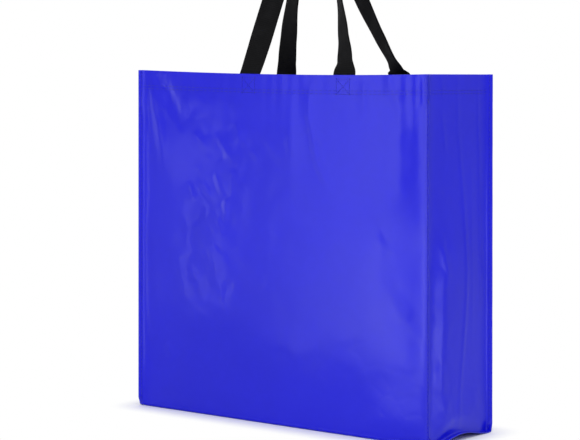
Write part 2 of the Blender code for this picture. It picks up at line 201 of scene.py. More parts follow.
frontRelief = {
    "ridges": (   # points across and up, half width, how far it stands out
        (((-0.189, 0.389), (-0.171, 0.368), (-0.152, 0.347)), 0.0060, 0.0008),
        (((-0.129, 0.386), (-0.149, 0.368), (-0.169, 0.350)), 0.0065, -0.0007),
        (((-0.200, 0.425), (-0.192, 0.413), (-0.187, 0.396)), 0.0065, -0.0008),
        (((-0.136, 0.351), (-0.113, 0.332)), 0.0040, 0.0011),
        (((-0.096, 0.347), (-0.083, 0.332), (-0.067, 0.316)), 0.0038, 0.0013),
        (((-0.067, 0.352), (-0.042, 0.334)), 0.0055, 0.0008),
        (((-0.045, 0.338), (-0.026, 0.317)), 0.0055, 0.0005),
        (((-0.074, 0.311), (-0.045, 0.304)), 0.0028, -0.0008),
        (((-0.100, 0.305), (-0.080, 0.266)), 0.0040, 0.0013),
        (((-0.126, 0.294), (-0.097, 0.265)), 0.0045, 0.0011),
        (((-0.079, 0.275), (-0.080, 0.240)), 0.0036, 0.0011),
        (((-0.093, 0.251), (-0.084, 0.226)), 0.0036, 0.0011),
        (((-0.143, 0.292), (-0.133, 0.265)), 0.0060, 0.0009),
        (((-0.105, 0.215), (-0.095, 0.175), (-0.080, 0.140)), 0.0050, 0.0005),
        (((-0.160, 0.195), (-0.150, 0.160), (-0.147, 0.130)), 0.0055, 0.0007),
        (((-0.183, 0.085), (-0.170, 0.062)), 0.0055, 0.0008),
        (((0.050, 0.425), (0.046, 0.399), (0.046, 0.374), (0.053, 0.348), (0.062, 0.320),
          (0.077, 0.292), (0.092, 0.280)), 0.0048, 0.0019),
        (((0.162, 0.425), (0.169, 0.407), (0.177, 0.390)), 0.0050, 0.0008),
        (((0.158, 0.402), (0.174, 0.373)), 0.0060, -0.0007),
        (((0.127, 0.425), (0.128, 0.370)), 0.0060, 0.0009),
        (((0.206, 0.424), (0.207, 0.396), (0.203, 0.383)), 0.0024, 0.0009),
        (((0.177, 0.540), (0.177, 0.330), (0.181, 0.250)), 0.0230, 0.0018),
    ),
    "dents": (    # across, up, half width, half height, lean in degrees, how far it stands out
        (-0.176, 0.395, 0.010, 0.042, 28.0, -0.0020),
        (-0.196, 0.372, 0.009, 0.050, 12.0, 0.0018),
        (-0.118, 0.290, 0.030, 0.060, -12.0, -0.0018),
        (-0.092, 0.215, 0.022, 0.050, 18.0, 0.0020),
        (-0.070, 0.300, 0.016, 0.045, -8.0, 0.0016),
        (0.020, 0.350, 0.010, 0.060, 3.0, 0.0010),
        (0.120, 0.180, 0.060, 0.080, 0.0, 0.0022),
        (-0.150, 0.070, 0.070, 0.040, 0.0, -0.0020),
    ),
    "crumples": (  # seed, pitch, sharpness, height, then middle across and up and reach both ways
        (11, 0.015, 6.0, 0.00040, -0.100, 0.315, 0.052, 0.060),
        (12, 0.015, 6.0, 0.00038, -0.108, 0.210, 0.042, 0.090),
        (13, 0.022, 2.6, 0.00035, -0.165, 0.160, 0.040, 0.090),
        (14, 0.026, 2.4, 0.00035, -0.160, 0.375, 0.050, 0.050),
        (15, 0.048, 2.0, 0.00060, 0.000, 0.210, 0.400, 0.330),
        (16, 0.021, 4.0, 0.00020, 0.060, 0.230, 0.240, 0.230),
    ),
}
backRelief = {
    "ridges": (
        (((-0.120, 0.410), (-0.100, 0.330), (-0.110, 0.250)), 0.0060, 0.0018),
        (((0.060, 0.300), (0.110, 0.220)), 0.0055, 0.0017),
        (((0.150, 0.380), (0.170, 0.300)), 0.0050, -0.0016),
        (((-0.040, 0.160), (-0.090, 0.100)), 0.0055, 0.0015),
        (((-0.160, 0.380), (-0.176, 0.300)), 0.0060, 0.0014),
        (((0.020, 0.425), (0.014, 0.370), (-0.006, 0.300)), 0.0060, 0.0016),
    ),
    "dents": (
        (-0.100, 0.280, 0.050, 0.070, 12.0, -0.0022),
        (0.110, 0.220, 0.060, 0.080, -20.0, 0.0024),
        (0.020, 0.120, 0.070, 0.050, 0.0, -0.0016),
    ),
    "crumples": (
        (21, 0.018, 2.6, 0.00055, 0.100, 0.270, 0.060, 0.080),
        (22, 0.022, 2.6, 0.00055, -0.120, 0.180, 0.060, 0.090),
        (23, 0.050, 2.0, 0.00055, 0.000, 0.210, 0.400, 0.330),
    ),
}
wallFade = {"edge": 0.012, "foot": 0.030}     # relief dies out this close to a side seam and to the floor
hemPuckers = {
    "height": 0.00018,        # small vertical waves that hang from the hem
    "pitch": 0.019,
    "crowding": 1.7,          # how far they crowd and part, in radians, and how often along the wall
    "crowdingTurns": 31.0,
    "secondHeight": 0.6,      # a second, wider wave beside the first
    "secondPitch": 1.7,
    "secondPhase": 0.8,
    "above": 0.012,           # they are full from this far above the hem's edge
    "reach": 0.045,
    "lowest": 0.24,           # none lie below this height
    "fade": 0.08,
}
sewnHem = {"halfWidth": 0.021, "lowest": 0.375, "fade": 0.020}   # kept flat about each handle's foot


def puckers(x, z):
    turn = 2 * math.pi * x / hemPuckers["pitch"]
    wave = np.sin(turn + hemPuckers["crowding"] * np.sin(x * hemPuckers["crowdingTurns"]))
    second = np.sin(turn / hemPuckers["secondPitch"] + hemPuckers["secondPhase"])
    hang = np.exp(-np.maximum(hemEdgeHeight + hemPuckers["above"] - z, 0.0) / hemPuckers["reach"])
    hang = hang * smoothStep((z - hemPuckers["lowest"]) / hemPuckers["fade"])
    return hemPuckers["height"] * (wave + hemPuckers["secondHeight"] * second) * hang


def legMask(x, z, legs):
    # the hem lies flat where the webbing is sewn to it
    calm = np.ones(np.broadcast(x, z).shape)
    for leg in legs:
        beside = np.exp(-(np.abs(x - leg["across"]) / sewnHem["halfWidth"]) ** 4)
        calm = calm * (1.0 - beside * smoothStep((z - sewnHem["lowest"]) / sewnHem["fade"]))
    return calm


def wallRelief(x, z, end):
    relief, legs = (frontRelief, handles["front"]) if end < 0 else (backRelief, handles["back"])
    height = foldRelief(x, z, relief) + puckers(x, z)
    for values in relief["dents"]:
        height += dent(x, z, *values) * smoothStep((rimHeight - z) / seam["hemDepth"])
    edge = smoothStep((halfWidth(z) - np.abs(x)) / wallFade["edge"])
    return height * edge * smoothStep(z / wallFade["foot"]) * legMask(x, z, legs)


# Seam lines. A station is a point of one: its place, which way the fin stands out, which way the gusset
# lies, and how far the two layers there lie from the middle

def mirrored(place, out, toGusset, spread, side, end):
    flip = np.array([side, -end, 1.0])
    return place * flip, out * flip, toGusset * flip, np.asarray(spread)[..., None]


def finSway(height):
    longTurn, shortTurn = seam["rippleTurns"]
    wave = np.sin(height * longTurn) + seam["shortRipple"] * np.sin(height * shortTurn + 1.0)
    return seam["ripple"] * wave / (1.0 + seam["shortRipple"])


def uprightStations(height, side, end):
    height = np.asarray(height, float)
    lifted = smoothStep((height - seamHeight - seam["foldRadius"]) / seam["finTurn"])
    calm = smoothStep((rimHeight - height) / seam["hemDepth"]) * lifted
    sidePhase, endPhase = seam["ripplePhases"]
    turn = math.pi / 4 * lifted + finSway(height + sidePhase * side + endPhase * end) * calm
    still = np.zeros_like(height)
    rise = rimRise(side, height / rimHeight) if end < 0 else still
    place = np.stack([halfWidth(height), -halfDepth(height), height + rise], -1)
    out = np.stack([np.cos(turn), -np.sin(turn), still], -1)
    toGusset = np.stack([np.sin(turn), np.cos(turn), still], -1)
    return mirrored(place, out, toGusset, seamSpread(height), side, end)


def baseStation(share, side):
    depth = abs(share) * (gussetDepth / 2 - seam["foldRadius"])
    place = np.array([panelWidth / 2, -depth, seamHeight + baseArch(share)])
    end = -1 if share < 0 else 1
    out, up = np.array([1.0, 0.0, 0.0]), np.array([0.0, 0.0, 1.0])
    return mirrored(place, out, up, layerStep / 2, side, end)


def cornerStation(side, end):
    bend = seam["foldRadius"] * (1.0 - math.sin(math.pi / 4))
    place = np.array([panelWidth / 2, bend - gussetDepth / 2, seamHeight + bend])
    toGusset = unitVectors(np.array([0.0, 1.0, 1.0]))
    return mirrored(place, np.array([1.0, 0.0, 0.0]), toGusset, layerStep / 2, side, end)


def creasePoints(station, layer):
    place, _, toGusset, spread = station
    return place + layer * spread * toGusset


def layersOut(height, swing):
    # how many layers lie between a fin's middle and this layer's own middle
    aboveEdge = smoothStep((height - hemEdgeHeight + seam["hemStep"]) / seam["hemStep"])
    return halfLayer + aboveEdge * (1.0 - swing)


def finPoints(crease, station, layer, outwards, shares):
    # the layers come together at the thread line, so that no light shows between them
    place, out, toGusset, _ = station
    closing = layer * outwards * seam["pressed"] - ((crease - place) * toGusset).sum()
    shares = np.asarray(shares)[:, None]
    closing = closing * smoothStep(shares / seam["stitchPlace"])
    return crease + out * seam["fin"] * shares + toGusset * closing


def stationRow(station, row):
    return [part[row] for part in station]


def wallInset(across, height, end):
    share = height / rimHeight
    span = 1.0 - across * across
    bow = stand["frontBow"] if end < 0 else stand["backBow"]
    broad = bow * span * share ** 2 - stand["belly"] * span * np.sin(math.pi * share) ** 2
    flare = seamFlare((1.0 - np.abs(across)) * halfWidth(height))
    return broad + flare - wallRelief(across * halfWidth(height), height, end)


def wallPoints(across, height, end, layerInset=0.0):
    left = creasePoints(uprightStations(height, -1, end), -1)
    right = creasePoints(uprightStations(height, 1, end), -1)
    share = height / rimHeight
    rise = rimRise(across, share) if end < 0 else 0.0
    point = left + (right - left) * ((across + 1.0) / 2)[..., None]
    point[..., 2] = height + rise - stand["rimDip"] * (1.0 - across * across) * share ** 2
    point[..., 1] -= end * (wallInset(across, height, end) + layerInset)
    return point


gussetFolds = {
    "ridges": (   # along the gusset and up, from its front seam at negative places
        (((0.043, 0.424), (0.048, 0.300), (0.049, 0.120)), 0.0028, 0.0006),
        (((0.030, 0.330), (0.029, 0.090)), 0.0030, 0.0003),
        (((-0.033, 0.385), (-0.024, 0.330)), 0.0034, 0.0004),
        (((-0.040, 0.296), (0.017, 0.270)), 0.0060, -0.0005),
        (((-0.036, 0.150), (-0.040, 0.120), (-0.038, 0.050)), 0.0050, 0.0006),
        (((-0.034, 0.424), (-0.030, 0.395)), 0.0030, 0.0003),
        (((0.040, 0.060), (0.034, 0.024)), 0.0120, 0.0006),
    ),
    "crumples": (
        (31, 0.015, 2.6, 0.00060, -0.042, 0.130, 0.022, 0.130),
        (32, 0.030, 2.2, 0.00012, 0.0, 0.300, 0.080, 0.140),
    ),
    "swell": 0.0045,          # the gusset's front part stands out below this height
    "swellTop": 0.260,
    "swellFade": 0.080,
    "swellFoot": 0.024,
    "swellFront": 0.036,      # distances over which the swell comes up from the seams
    "swellBack": 0.098,
    "edgeFade": 0.010,        # creases die out this close to a seam and to the floor
    "footFade": 0.020,
    "leftSeeds": 7,           # the left gusset crumples in its own way
}


def gussetRelief(y, z, side):
    height = foldRelief(y, z, gussetFolds, gussetFolds["leftSeeds"] if side < 0 else 0)
    toFront, toBack = halfDepth(z) + y, halfDepth(z) - y
    edge = smoothStep(np.minimum(toFront, toBack) / gussetFolds["edgeFade"])
    swell = smoothStep(toFront / gussetFolds["swellFront"])
    swell = swell * np.clip(toBack / gussetFolds["swellBack"], 0.0, 1.0)
    swell = swell * smoothStep((gussetFolds["swellTop"] - z) / gussetFolds["swellFade"])
    swell = swell * smoothStep(z / gussetFolds["swellFoot"])
    return height * edge * smoothStep(z / gussetFolds["footFade"]) + gussetFolds["swell"] * swell


def gussetBulge(share, height, side):
    level, y = height / rimHeight, share * gussetDepth / 2
    toSeam = 1.0 - np.abs(share)
    swell = np.sin(math.pi * np.minimum(level * stand["bulgeStretch"], 1.0)) ** 2
    body = stand["gussetBulge"] * (1.0 - share ** 2) * swell
    crest = np.exp(-((y - stand["creaseShift"] * swell) / stand["creaseHalfWidth"]) ** 2)
    crest = crest * (stand["leastCrease"] + (1.0 - stand["leastCrease"]) * swell)
    crest = stand["gussetCrease"] * crest * smoothStep(toSeam / stand["creaseFade"])
    flare = seamFlare(toSeam * gussetDepth / 2) * smoothStep(level / stand["flareFoot"])
    return body + crest - flare + gussetRelief(y, height, side)


def gussetPoints(share, height, side, layerInset=0.0, lift=0.0):
    front = creasePoints(uprightStations(height, side, -1), 1)
    back = creasePoints(uprightStations(height, side, 1), 1)
    place = share * (1.0 - seam["foldRadius"] / (gussetDepth / 2))
    point = front + (back - front) * ((place + 1.0) / 2)[..., None]
    rise = rimRise(place, height / rimHeight) if side < 0 else 0.0
    fade = smoothStep(1.0 - height / stand["archReach"])
    point[..., 0] += side * (gussetBulge(place, height, side) - layerInset)
    point[..., 2] = height + rise + lift + baseArch(share) * fade
    return point


# Rows of a wall, from the hem's free edge over the rim and down to the bottom fold

grid = {
    "wallRows": 150,
    "backRows": 70,
    "hemRows": 10,
    "rimTurns": 5,
    "baseRows": 22,
    "panelColumns": 156,
    "gussetColumns": 60,
    "finColumns": 4,
    "rowCrowding": 1.15,      # above 1 the rows lie closer towards the floor
    "evenColumns": 0.9,       # the rest of a column's place crowds it towards the seams
}


def wallRows(count):
    # each row's height, how far inside the wall it lies in layers, and its lift over the rim's fold
    hem = np.linspace(hemEdgeHeight, rimFoldHeight, grid["hemRows"])
    turns = np.linspace(0.0, math.pi, grid["rimTurns"] + 2)[1:-1]
    lowest = seamHeight + seam["foldRadius"]
    down = lowest + (hemEdgeHeight - lowest) * np.linspace(1.0, 0.0, count + 1)[1:] ** grid["rowCrowding"]
    still = np.zeros(len(hem) + count)
    height = np.concatenate([hem, np.full(len(turns), rimFoldHeight), hem[::-1], down])
    swing = np.concatenate([np.ones(len(hem)), np.cos(turns) / 2 + 0.5, still])
    lift = np.concatenate([np.zeros(len(hem)), layerStep / 2 * np.sin(turns), still])
    return height, swing, lift


def layered(crease, station, wallNormal, layer, swing, lift):
    toMiddle = -layer * station[2]
    shift = (wallNormal + toMiddle) / (1.0 + (wallNormal * toMiddle).sum(-1, keepdims=True))
    moved = crease + shift * (layerStep * swing)[..., None]
    moved[..., 2] += lift
    return moved


class Cloth:
    # points of one open sheet, each with its place on the flat cut

    def __init__(self):
        self.points, self.cuts, self.faces = [], [], []

    def add(self, points, across, along):
        first = len(self.points)
        self.points += [tuple(point) for point in points]
        self.cuts += list(np.stack(np.broadcast_arrays(across, along), -1))
        return list(range(first, len(self.points)))

    def band(self, first, second, turned=False):
        for k in range(len(first) - 1):
            face = (first[k], first[k + 1], second[k + 1], second[k])
            self.faces.append(face[::-1] if turned else face)

    def made(self, name, finishes, thickness=0.0):
        mesh = bpy.data.meshes.new(name)
        mesh.from_pydata(self.points, [], self.faces)
        corners = np.zeros(len(mesh.loops), np.int32)
        mesh.loops.foreach_get("vertex_index", corners)
        cuts = np.array(self.cuts, np.float32)
        mesh.uv_layers.new(name="cut").data.foreach_set("uv", cuts[corners].ravel())
        mesh.shade_smooth()
        item = bpy.data.objects.new(name, mesh)
        bpy.context.scene.collection.objects.link(item)
        for finish in finishes:
            mesh.materials.append(finish)
        if thickness:
            wall = item.modifiers.new("cloth thickness", "SOLIDIFY")
            wall.thickness = thickness
            wall.offset = 0.0
            wall.use_even_offset = True
            wall.material_offset = 1
            wall.material_offset_rim = 1
        print("made", name, "with", len(mesh.polygons), "faces")
        return item


def panelShares(count):
    even = np.linspace(-1.0, 1.0, count + 1)
    return grid["evenColumns"] * even + (1.0 - grid["evenColumns"]) * np.sin(even * math.pi / 2)


def finShares():
    return np.linspace(0.0, 1.0, grid["finColumns"] + 1)[1:]


def stripCloth():
    across, fins = panelShares(grid["panelColumns"]), finShares()
    rows = []

    def takeRow(points, stations, outwards):
        leftFin = finPoints(points[0], stations[0], -1, outwards, fins[::-1])
        rightFin = finPoints(points[-1], stations[1], -1, outwards, fins)
        rows.append(np.concatenate([leftFin, points, rightFin]))

    def takeWall(end, count):
        height, swing, lift = wallRows(count)
        points = wallPoints(across[None, :], height[:, None], end, (layerStep * swing)[:, None])
        points[..., 2] += lift[:, None]
        inwards = np.array([0.0, -end, 0.0])
        stations = [uprightStations(height, side, end) for side in (-1, 1)]
        for station, column in zip(stations, (0, -1)):
            points[:, column] = layered(creasePoints(station, -1), station, inwards, -1, swing, lift)
        outwards = layersOut(height, swing)
        for k in range(len(height))[::-end]:
            takeRow(points[k], [stationRow(station, k) for station in stations], outwards[k])

    def takeBase(stations, flat):
        left, right = (creasePoints(station, -1) for station in stations)
        points = left + (right - left) * ((across + 1.0) / 2)[:, None]
        if flat:
            spread = smoothStep((np.abs(across) - stand["flatBase"]) / (1.0 - stand["flatBase"]))
            points[:, 2] = skin + (left[2] - skin) * spread
        takeRow(points, stations, halfLayer)

    takeWall(-1, grid["wallRows"])
    takeBase([cornerStation(side, -1) for side in (-1, 1)], False)
    for share in np.linspace(-1.0, 1.0, grid["baseRows"] + 1):
        takeBase([baseStation(share, side) for side in (-1, 1)], True)
    takeBase([cornerStation(side, 1) for side in (-1, 1)], False)
    takeWall(1, grid["backRows"])

    cloth = Cloth()
    edge, middle = panelWidth / 2, len(rows[0]) // 2
    flat = np.concatenate([-edge - fins[::-1] * seam["fin"], across * edge, edge + fins * seam["fin"]])
    travel = 0.0
    indices = [cloth.add(rows[0], flat, travel)]
    for above, row in zip(rows, rows[1:]):
        travel += float(np.linalg.norm(row[middle] - above[middle]))
        indices.append(cloth.add(row, flat, travel))
    for upper, lower in zip(indices, indices[1:]):
        cloth.band(upper, lower, True)
    return cloth


def gussetCloth(side):
    cloth = Cloth()
    half, fins = gussetDepth / 2, finShares()
    shares = np.linspace(-1.0, 1.0, grid["gussetColumns"] + 1)
    flat = np.concatenate([[-half], shares * (half - seam["foldRadius"]), [half]])
    height, swing, lift = wallRows(grid["wallRows"])
    inwards = np.array([-side, 0.0, 0.0])
    stations = [uprightStations(height, side, end) for end in (-1, 1)]
    edges = [layered(creasePoints(s, 1), s, inwards, 1, swing, lift) for s in stations]
    inner = gussetPoints(shares[None, :], height[:, None], side,
                         (layerStep * swing)[:, None], lift[:, None])
    steps = np.linalg.norm(np.diff(inner[:, 0], axis=0), axis=-1)
    travel = np.concatenate([[0.0], np.cumsum(steps)])
    outwards = layersOut(height, swing)
    rows, finRows = [], ([], [])
    for k, down in enumerate(travel):
        points = np.concatenate([edges[0][k:k + 1], inner[k], edges[1][k:k + 1]])
        rows.append(cloth.add(points, flat, down))
        for fin, edge, station, end in zip(finRows, edges, stations, (-1, 1)):
            points = finPoints(edge[k], stationRow(station, k), 1, outwards[k], fins)
            fin.append(cloth.add(points, end * (half + fins * seam["fin"]), down))

    lowest = [baseStation(float(share), side) for share in shares]
    lowest = [cornerStation(side, -1), *lowest, cornerStation(side, 1)]
    crease = [creasePoints(station, 1) for station in lowest]
    foot = travel[-1] + seam["foldRadius"]
    rows.append(cloth.add(crease, flat, foot))
    baseFin = []
    for point, station, place in zip(crease, lowest, flat):
        points = finPoints(point, station, 1, halfLayer, fins)
        baseFin.append(cloth.add(points, place, foot + fins * seam["fin"]))
    for upper, lower in zip(rows, rows[1:]):
        cloth.band(upper, lower, side > 0)
    outline = [row[0] for row in rows[:-1]] + rows[-1] + [row[-1] for row in reversed(rows[:-1])]
    around = finRows[0] + baseFin + finRows[1][::-1]
    ribbons = [outline] + [[fin[k] for fin in around] for k in range(len(fins))]
    for first, second in zip(ribbons, ribbons[1:]):
        cloth.band(first, second, side > 0)
    return cloth


# Handles: flat webbing that leaves the inside of the hem, turns on itself and meets at the loop's top

handles = {
    "width": 0.032,
    "thickness": 0.0016,
    "tuck": 0.028,           # length sewn to the inside of the hem
    "rise": 0.230,
    "part": 0.0020,          # half the space between the two loops at their tops
    "twistStart": 0.0010,    # a leg stays flat until it is this far above the rim
    "slopeReach": 0.050,     # height above the rim where the wall's own slope has left a leg
    "tiltReach": 0.030,      # height above the rim where a leg lies square to its own curve
    "sewnRows": 12,
    "rows": 210,
    "crowding": 1.4,         # above 1 a leg's rows lie closer towards the rim
    "sideColumns": 10,
    "edgeBends": (-60.0, -20.0, 20.0, 60.0),   # points round a selvedge, in degrees
    # left and right leg: place at the rim, how its curve sets off, and degrees turned at shares of the rise
    "front": (
        {"across": -0.0483, "lean": (0.0038, 0.0136), "climb": 0.13, "crown": 0.015,
         "twist": ((0.08, 1.5), (0.20, 4.0), (0.39, 2.5), (1.0, 90.0))},
        {"across": 0.0958, "lean": (0.0038, 0.0136), "climb": 0.13, "crown": 0.015,
         "twist": ((0.074, -22.0), (0.20, -33.0), (0.383, -44.0), (1.0, -90.0))},
    ),
    "back": (
        {"across": -0.0795, "lean": (0.0423, 0.0420), "climb": 0.67, "crown": 0.010,
         "twist": ((0.08, -8.5), (0.21, -15.0), (0.40, -26.0), (1.0, -90.0))},
        {"across": 0.0958, "lean": (0.0871, 0.0450), "climb": 0.76, "crown": 0.010,
         "twist": ((0.026, -26.0), (0.08, -36.0), (0.20, -30.0), (0.39, -22.5), (1.0, 90.0))},
    ),
}


def blendValue(stations, place):
    for (low, first), (high, second) in zip(stations, stations[1:]):
        if place <= high:
            return first + (second - first) * float(smoothStep((place - low) / (high - low)))
    return stations[-1][1]


def legSeat(x, height, end):
    inset = layerStep + skin + seam["gap"] + handles["thickness"] / 2
    return wallPoints(np.array(x / halfWidth(height)), np.array(height), end, inset)


def legRows(leg, other, start, end):
    # one leg from its sewn end up to the loop's top: point, turn, and how square it lies to its curve
    across, step, rise = leg["across"], handles["width"] / 2, handles["rise"]
    left, right = (legSeat(across + sign * step, rimHeight, end) for sign in (-1, 1))
    slope = math.atan2(right[1] - left[1], right[0] - left[0])
    stations = [(-rimHeight, 0.0), (handles["twistStart"], 0.0)]
    stations += [(share * rise, math.radians(angle)) for share, angle in leg["twist"]]
    sewn = np.linspace(-handles["tuck"], 0.0, handles["sewnRows"] + 1)[:-1]
    rows = [(legSeat(across, rimHeight + down, end), start + slope, 0.0) for down in sewn]
    base = legSeat(across, rimHeight, end)
    base[2] = rimHeight
    towards = 1.0 if other["across"] > across else -1.0
    top = np.array([(across + other["across"]) / 2, end * (step + handles["part"]), rimHeight + rise])
    leanAcross, leanInwards = leg["lean"]
    first = base + np.array([towards * leanAcross, -end * leanInwards, leg["climb"] * rise])
    second = top - np.array([towards * leg["crown"], 0.0, 0.0])
    for along in np.linspace(0.0, 1.0, handles["rows"] // 2) ** handles["crowding"]:
        rest = 1.0 - along
        point = rest ** 3 * base + 3 * rest ** 2 * along * first
        point = point + 3 * rest * along ** 2 * second + along ** 3 * top
        above = point[2] - rimHeight
        ease = 1.0 - float(smoothStep(above / handles["slopeReach"]))
        square = float(smoothStep(above / handles["tiltReach"]))
        rows.append((point, start + slope * ease + blendValue(stations, above), square))
    return rows


def handleRows(pair, end):
    left, right = pair
    climbing, falling = legRows(left, right, 0.0, end), legRows(right, left, math.pi, end)[:-1]
    turnBack = 2 * math.pi if climbing[-1][1] < 0 else 0.0
    return climbing + [(point, angle - turnBack, square) for point, angle, square in reversed(falling)]


def handleCloth(pair, end):
    # a closed band with rounded edges, so it needs no wall thickness afterwards
    cloth = Cloth()
    rows = handleRows(pair, end)
    halfThick = handles["thickness"] / 2
    core = handles["width"] / 2 - halfThick
    flatSide = np.linspace(-core, core, handles["sideColumns"])
    bends = [(math.cos(bend), math.sin(bend)) for bend in np.radians(handles["edgeBends"])]
    section = [(x, halfThick) for x in flatSide[::-1]]
    section += [(-core - halfThick * cosine, -halfThick * sine) for cosine, sine in bends]
    section += [(x, -halfThick) for x in flatSide]
    section += [(core + halfThick * cosine, halfThick * sine) for cosine, sine in bends]
    section = np.array(section)
    around = np.concatenate([[0.0], np.cumsum(np.hypot(*np.diff(section, axis=0).T))])
    travel, rings = 0.0, []
    for k, (point, angle, square) in enumerate(rows):
        before, after = rows[max(k - 1, 0)][0], rows[min(k + 1, len(rows) - 1)][0]
        tangent = unitVectors(after - before)
        wide = np.array([math.cos(angle), math.sin(angle), 0.0])
        wide = unitVectors(wide - tangent * np.dot(wide, tangent) * square)
        deep = unitVectors(np.cross(tangent, wide))
        if k:
            travel += float(np.linalg.norm(point - before))
        rings.append(cloth.add(point + section[:, :1] * wide + section[:, 1:] * deep, around, travel))
    for first, second in zip(rings, rings[1:]):
        cloth.band(first + first[:1], second + second[:1])
    for ring, turned in ((rings[0], False), (rings[-1], True)):
        half = len(ring) // 2
        cloth.band(ring[:half], ring[half:][::-1], turned)
    return cloth


# Shader maths as Python expressions

def mathNode(operation, reflected=False):
    def made(first, second):
        return first.shader.maths(operation, *((second, first) if reflected else (first, second)))
    return made


class Wire:
    # one output of a node; arithmetic on it adds Math nodes

    def __init__(self, shader, socket):
        self.shader, self.socket = shader, socket

    __add__, __radd__ = mathNode("ADD"), mathNode("ADD", True)
    __sub__, __rsub__ = mathNode("SUBTRACT"), mathNode("SUBTRACT", True)
    __mul__, __rmul__ = mathNode("MULTIPLY"), mathNode("MULTIPLY", True)
    __truediv__, __pow__ = mathNode("DIVIDE"), mathNode("POWER")


class Shader:
    # a material's node tree, or the world's

    def __init__(self, owner):
        self.owner = owner
        owner.use_nodes = True
        self.tree = owner.node_tree
        self.tree.nodes.clear()

    def outputs(self, kind, settings=None, sockets=None):
        # settings are set first, then the sockets' values and links
        made = self.tree.nodes.new(kind)
        for name, value in (settings or {}).items():
            setattr(made, name, value)
        for name, value in (sockets or {}).items():
            if isinstance(value, Wire):
                self.tree.links.new(value.socket, made.inputs[name])
            else:
                made.inputs[name].default_value = value
        return made.outputs

    def node(self, kind, settings=None, sockets=None, output=0):
        return Wire(self, self.outputs(kind, settings, sockets)[output])

    def maths(self, operation, *values):
        return self.node("ShaderNodeMath", {"operation": operation}, dict(enumerate(values)))

    def coordinates(self, name):
        return self.node("ShaderNodeTexCoord", output=name)

    def ray(self, name):
        return self.node("ShaderNodeLightPath", output=name)

    def parts(self, place):
        return [Wire(self, socket) for socket in self.outputs("ShaderNodeSeparateXYZ", None, {0: place})]

    def noise(self, place, form):
        scale, detail, roughness = form
        return self.node("ShaderNodeTexNoise", None,
                         {"Vector": place, "Scale": scale, "Detail": detail, "Roughness": roughness})

    def spread(self, value, span, to=(0.0, 1.0)):
        return self.node("ShaderNodeMapRange", {"interpolation_type": "SMOOTHSTEP"}, {
            "Value": value, "From Min": span[0], "From Max": span[1], "To Min": to[0], "To Max": to[1]})

    def between(self, factor, first, second):
        # a Mix node's colour sockets are its inputs 6 and 7 and its output 2
        return self.node("ShaderNodeMix", {"data_type": "RGBA"}, {0: factor, 6: first, 7: second}, 2)

    def finished(self, surface, kind="ShaderNodeOutputMaterial"):
        self.outputs(kind, None, {"Surface": surface})
        return self.owner

    def principled(self, tone, rough, relief, specular, sheen=0.0):
        bump = self.node("ShaderNodeBump", None, {"Height": relief, "Distance": 1.0, "Strength": 1.0})
        return self.finished(self.node("ShaderNodeBsdfPrincipled", None, {
            "Base Color": tone, "Roughness": rough, "Specular IOR Level": specular,
            "Sheen Weight": sheen, "Normal": bump}))


def colour(red, green, blue):
    return (red, green, blue, 1.0)


def newShader(name):
    return Shader(bpy.data.materials.new(name))


bonds = {"pitch": 0.0024, "edge": (0.15, 0.95)}


def bondPattern(shader, cut):
    # staggered rows of small pressed ovals that hold the fibres together
    across, up, _ = shader.parts(cut)
    turns = 2 * math.pi / bonds["pitch"]
    rising, falling = (shader.maths("SINE", way * turns) for way in (across + up, across - up))
    return shader.spread(rising * falling, bonds["edge"])


film = {
    "blue": colour(0.0055, 0.0065, 0.640),
    "deepBlue": colour(0.0045, 0.0055, 0.602),
    "scuffBlue": colour(0.0110, 0.0130, 0.670),
    "cloud": (9.0, 4.0, 0.55),       # scale, detail and roughness of each noise
    "mottle": (95.0, 3.0, 0.55),
    "fibres": (420.0, 2.0, 0.70),
    "scuffs": (13.0, 3.0, 0.50),
    "crinkled": (7.0, 2.0, 0.55),    # patches where the film is wrinkled
    "peel": (150.0, 2.0, 0.55),
    "waves": (30.0, 3.0, 0.55),
    "mottleShare": 0.3,
    "toneSpan": (0.36, 0.64),
    "scuffSpan": (0.55, 0.85),
    "scuffTint": 0.4,
    "fibreSpan": (0.58, 0.80),
    "fibreTint": 0.25,
    "roughness": 0.225,
    "roughnessSway": 0.016,
    "roughSpan": (0.30, 0.70),
    "specular": 0.25,
    "cellScale": 46.0,               # light wrinkles run along the edges of cells
    "cellEdge": (0.0, 0.22),
    "crinkledSpan": (0.42, 0.66),
    "peelHeight": 0.000020,
    "crinkleHeight": 0.000055,
    "waveHeight": 0.000088,
    "bondDepth": 0.0000035,
}


def filmMaterial(name):
    shader = newShader(name)
    place, cut = shader.coordinates("Object"), shader.coordinates("UV")
    cloud, mottle = shader.noise(place, film["cloud"]), shader.noise(place, film["mottle"])
    clouded = cloud * (1.0 - film["mottleShare"]) + mottle * film["mottleShare"]
    tone = shader.between(shader.spread(clouded, film["toneSpan"]), film["deepBlue"], film["blue"])
    for noise, span, tint in (("scuffs", "scuffSpan", "scuffTint"), ("fibres", "fibreSpan", "fibreTint")):
        seen = shader.spread(shader.noise(place, film[noise]), film[span]) * film[tint]
        tone = shader.between(seen, tone, film["scuffBlue"])
    rough, sway = film["roughness"], film["roughnessSway"]
    rough = shader.spread(cloud, film["roughSpan"], (rough - sway, rough + sway))
    cells = shader.node("ShaderNodeTexVoronoi", {"feature": "DISTANCE_TO_EDGE"},
                        {"Vector": place, "Scale": film["cellScale"], "Randomness": 1.0})
    active = shader.spread(shader.noise(place, film["crinkled"]), film["crinkledSpan"])
    crinkles = shader.spread(cells, film["cellEdge"]) * film["crinkleHeight"]
    crinkles = crinkles + shader.noise(place, film["waves"]) * film["waveHeight"]
    relief = shader.noise(place, film["peel"]) * film["peelHeight"] + crinkles * active
    relief = relief - bondPattern(shader, cut) * film["bondDepth"]
    return shader.principled(tone, rough, relief, film["specular"])


